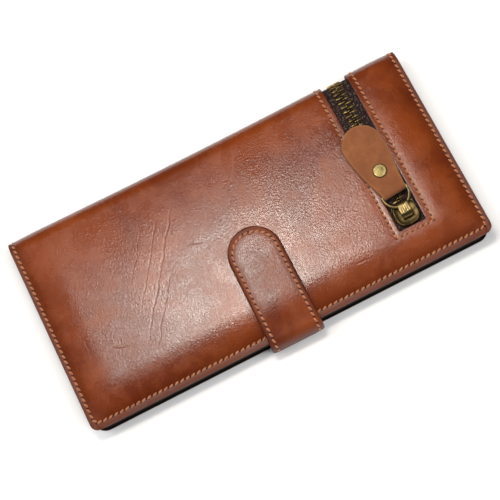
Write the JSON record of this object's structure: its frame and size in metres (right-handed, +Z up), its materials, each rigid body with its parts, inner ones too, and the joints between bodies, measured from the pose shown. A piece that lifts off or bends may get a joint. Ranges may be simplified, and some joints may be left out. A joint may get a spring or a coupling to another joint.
{
  "type": "long wallet",
  "caption": "Long bifold leather wallet with a closing strap, a zip pocket in the front cover, a leather zip pull and card slots inside.",
  "frame": {"origin": "centre of the back cover's flat outer face, which the wallet lies on", "axes": "+X along the spine towards the zip, +Y from the open edge to the spine, +Z up from the back cover to the front cover"},
  "size_m": [0.198, 0.1007, 0.0206],
  "materials": {
    "cover_leather": "glossy pull-up leather",
    "inner_leather": "smooth",
    "pull_leather": "matte",
    "lining_cloth": "woven",
    "zip_tape": "woven",
    "old_brass": "antique",
    "clear_film": "clear",
    "steel": "plain",
    "magnet_rubber": "matte"
  },
  "bodies": {
    "back_half": {"back_cover": "cover_leather", "back_lining": "lining_cloth", "strap_anchor": "cover_leather", "back_inner_panel": "inner_leather", "back_card_slot_1": "inner_leather", "back_card_slot_2": "inner_leather", "back_card_slot_3": "inner_leather", "back_card_slot_4": "inner_leather", "zip_back_tape": "zip_tape", "zip_back_teeth": "old_brass", "zip_bottom_stop": "old_brass"},
    "spine": {"spine_leather": "cover_leather", "spine_lining": "lining_cloth", "zip_spine_tape": "zip_tape", "zip_spine_teeth": "old_brass"},
    "front_half": {"front_cover": "cover_leather", "zip_tape_left": "zip_tape", "zip_tape_right": "zip_tape", "zip_teeth_left": "old_brass", "zip_teeth_right": "old_brass", "zip_top_stops": "old_brass", "zip_pocket_lining": "lining_cloth", "front_inner_panel": "inner_leather", "id_window_frame": "inner_leather", "id_window_film": "clear_film", "front_card_slot_1": "inner_leather", "front_card_slot_2": "inner_leather", "front_card_slot_3": "inner_leather", "keeper_plate": "steel"},
    "strap_bend": {"strap_bend_outer": "cover_leather", "strap_bend_lining": "inner_leather"},
    "strap_tongue": {"strap_tongue_outer": "cover_leather", "strap_tongue_lining": "inner_leather", "strap_magnet": "magnet_rubber"},
    "slider": {"slider_body": "old_brass", "slider_crown": "old_brass"},
    "ring": {"pull_ring": "old_brass"},
    "tab": {"pull_tab": "pull_leather", "tab_rivet_cap": "old_brass", "tab_rivet_post": "old_brass"}
  },
  "joints": [
    {"name": "spine_fold", "type": "hinge", "parent": "back_half", "child": "spine", "pos_m": [0, 0.04674, 0.00176], "axis": [-1, 0, 0], "range_deg": [0, 90]},
    {"name": "front_fold", "type": "hinge", "parent": "spine", "child": "front_half", "pos_m": [0, 0.04674, 0.01464], "axis": [-1, 0, 0], "range_deg": [0, 90]},
    {"name": "strap_swing", "type": "hinge", "parent": "back_half", "child": "strap_bend", "pos_m": [0, -0.0511, 0.00255], "axis": [1, 0, 0], "range_deg": [0, 90], "deforming": ["strap_bend_outer", "strap_bend_lining"]},
    {"name": "strap_lift", "type": "hinge", "parent": "strap_bend", "child": "strap_tongue", "pos_m": [0, -0.0511, 0.0145], "axis": [1, 0, 0], "range_deg": [0, 90], "deforming": ["strap_tongue_outer", "strap_tongue_lining", "strap_magnet"]},
    {"name": "zip_slide", "type": "slide", "parent": "front_half", "child": "slider", "axis": [0, 1, 0], "range_m": [0, 0.056], "deforming": ["zip_teeth_left", "zip_teeth_right"]},
    {"name": "ring_swing", "type": "hinge", "parent": "slider", "child": "ring", "pos_m": [0.0677, -0.0214, 0.01865], "axis": [0.9962, 0.0872, 0], "range_deg": [0, 100]},
    {"name": "tab_swing", "type": "hinge", "parent": "ring", "child": "tab", "pos_m": [0.06703, -0.01368, 0.01865], "axis": [0.9962, 0.0872, 0], "range_deg": [0, 80]}
  ],
  "couplings": [
    {"joint": "front_fold", "follows": "spine_fold", "ratio": 1}
  ]
}
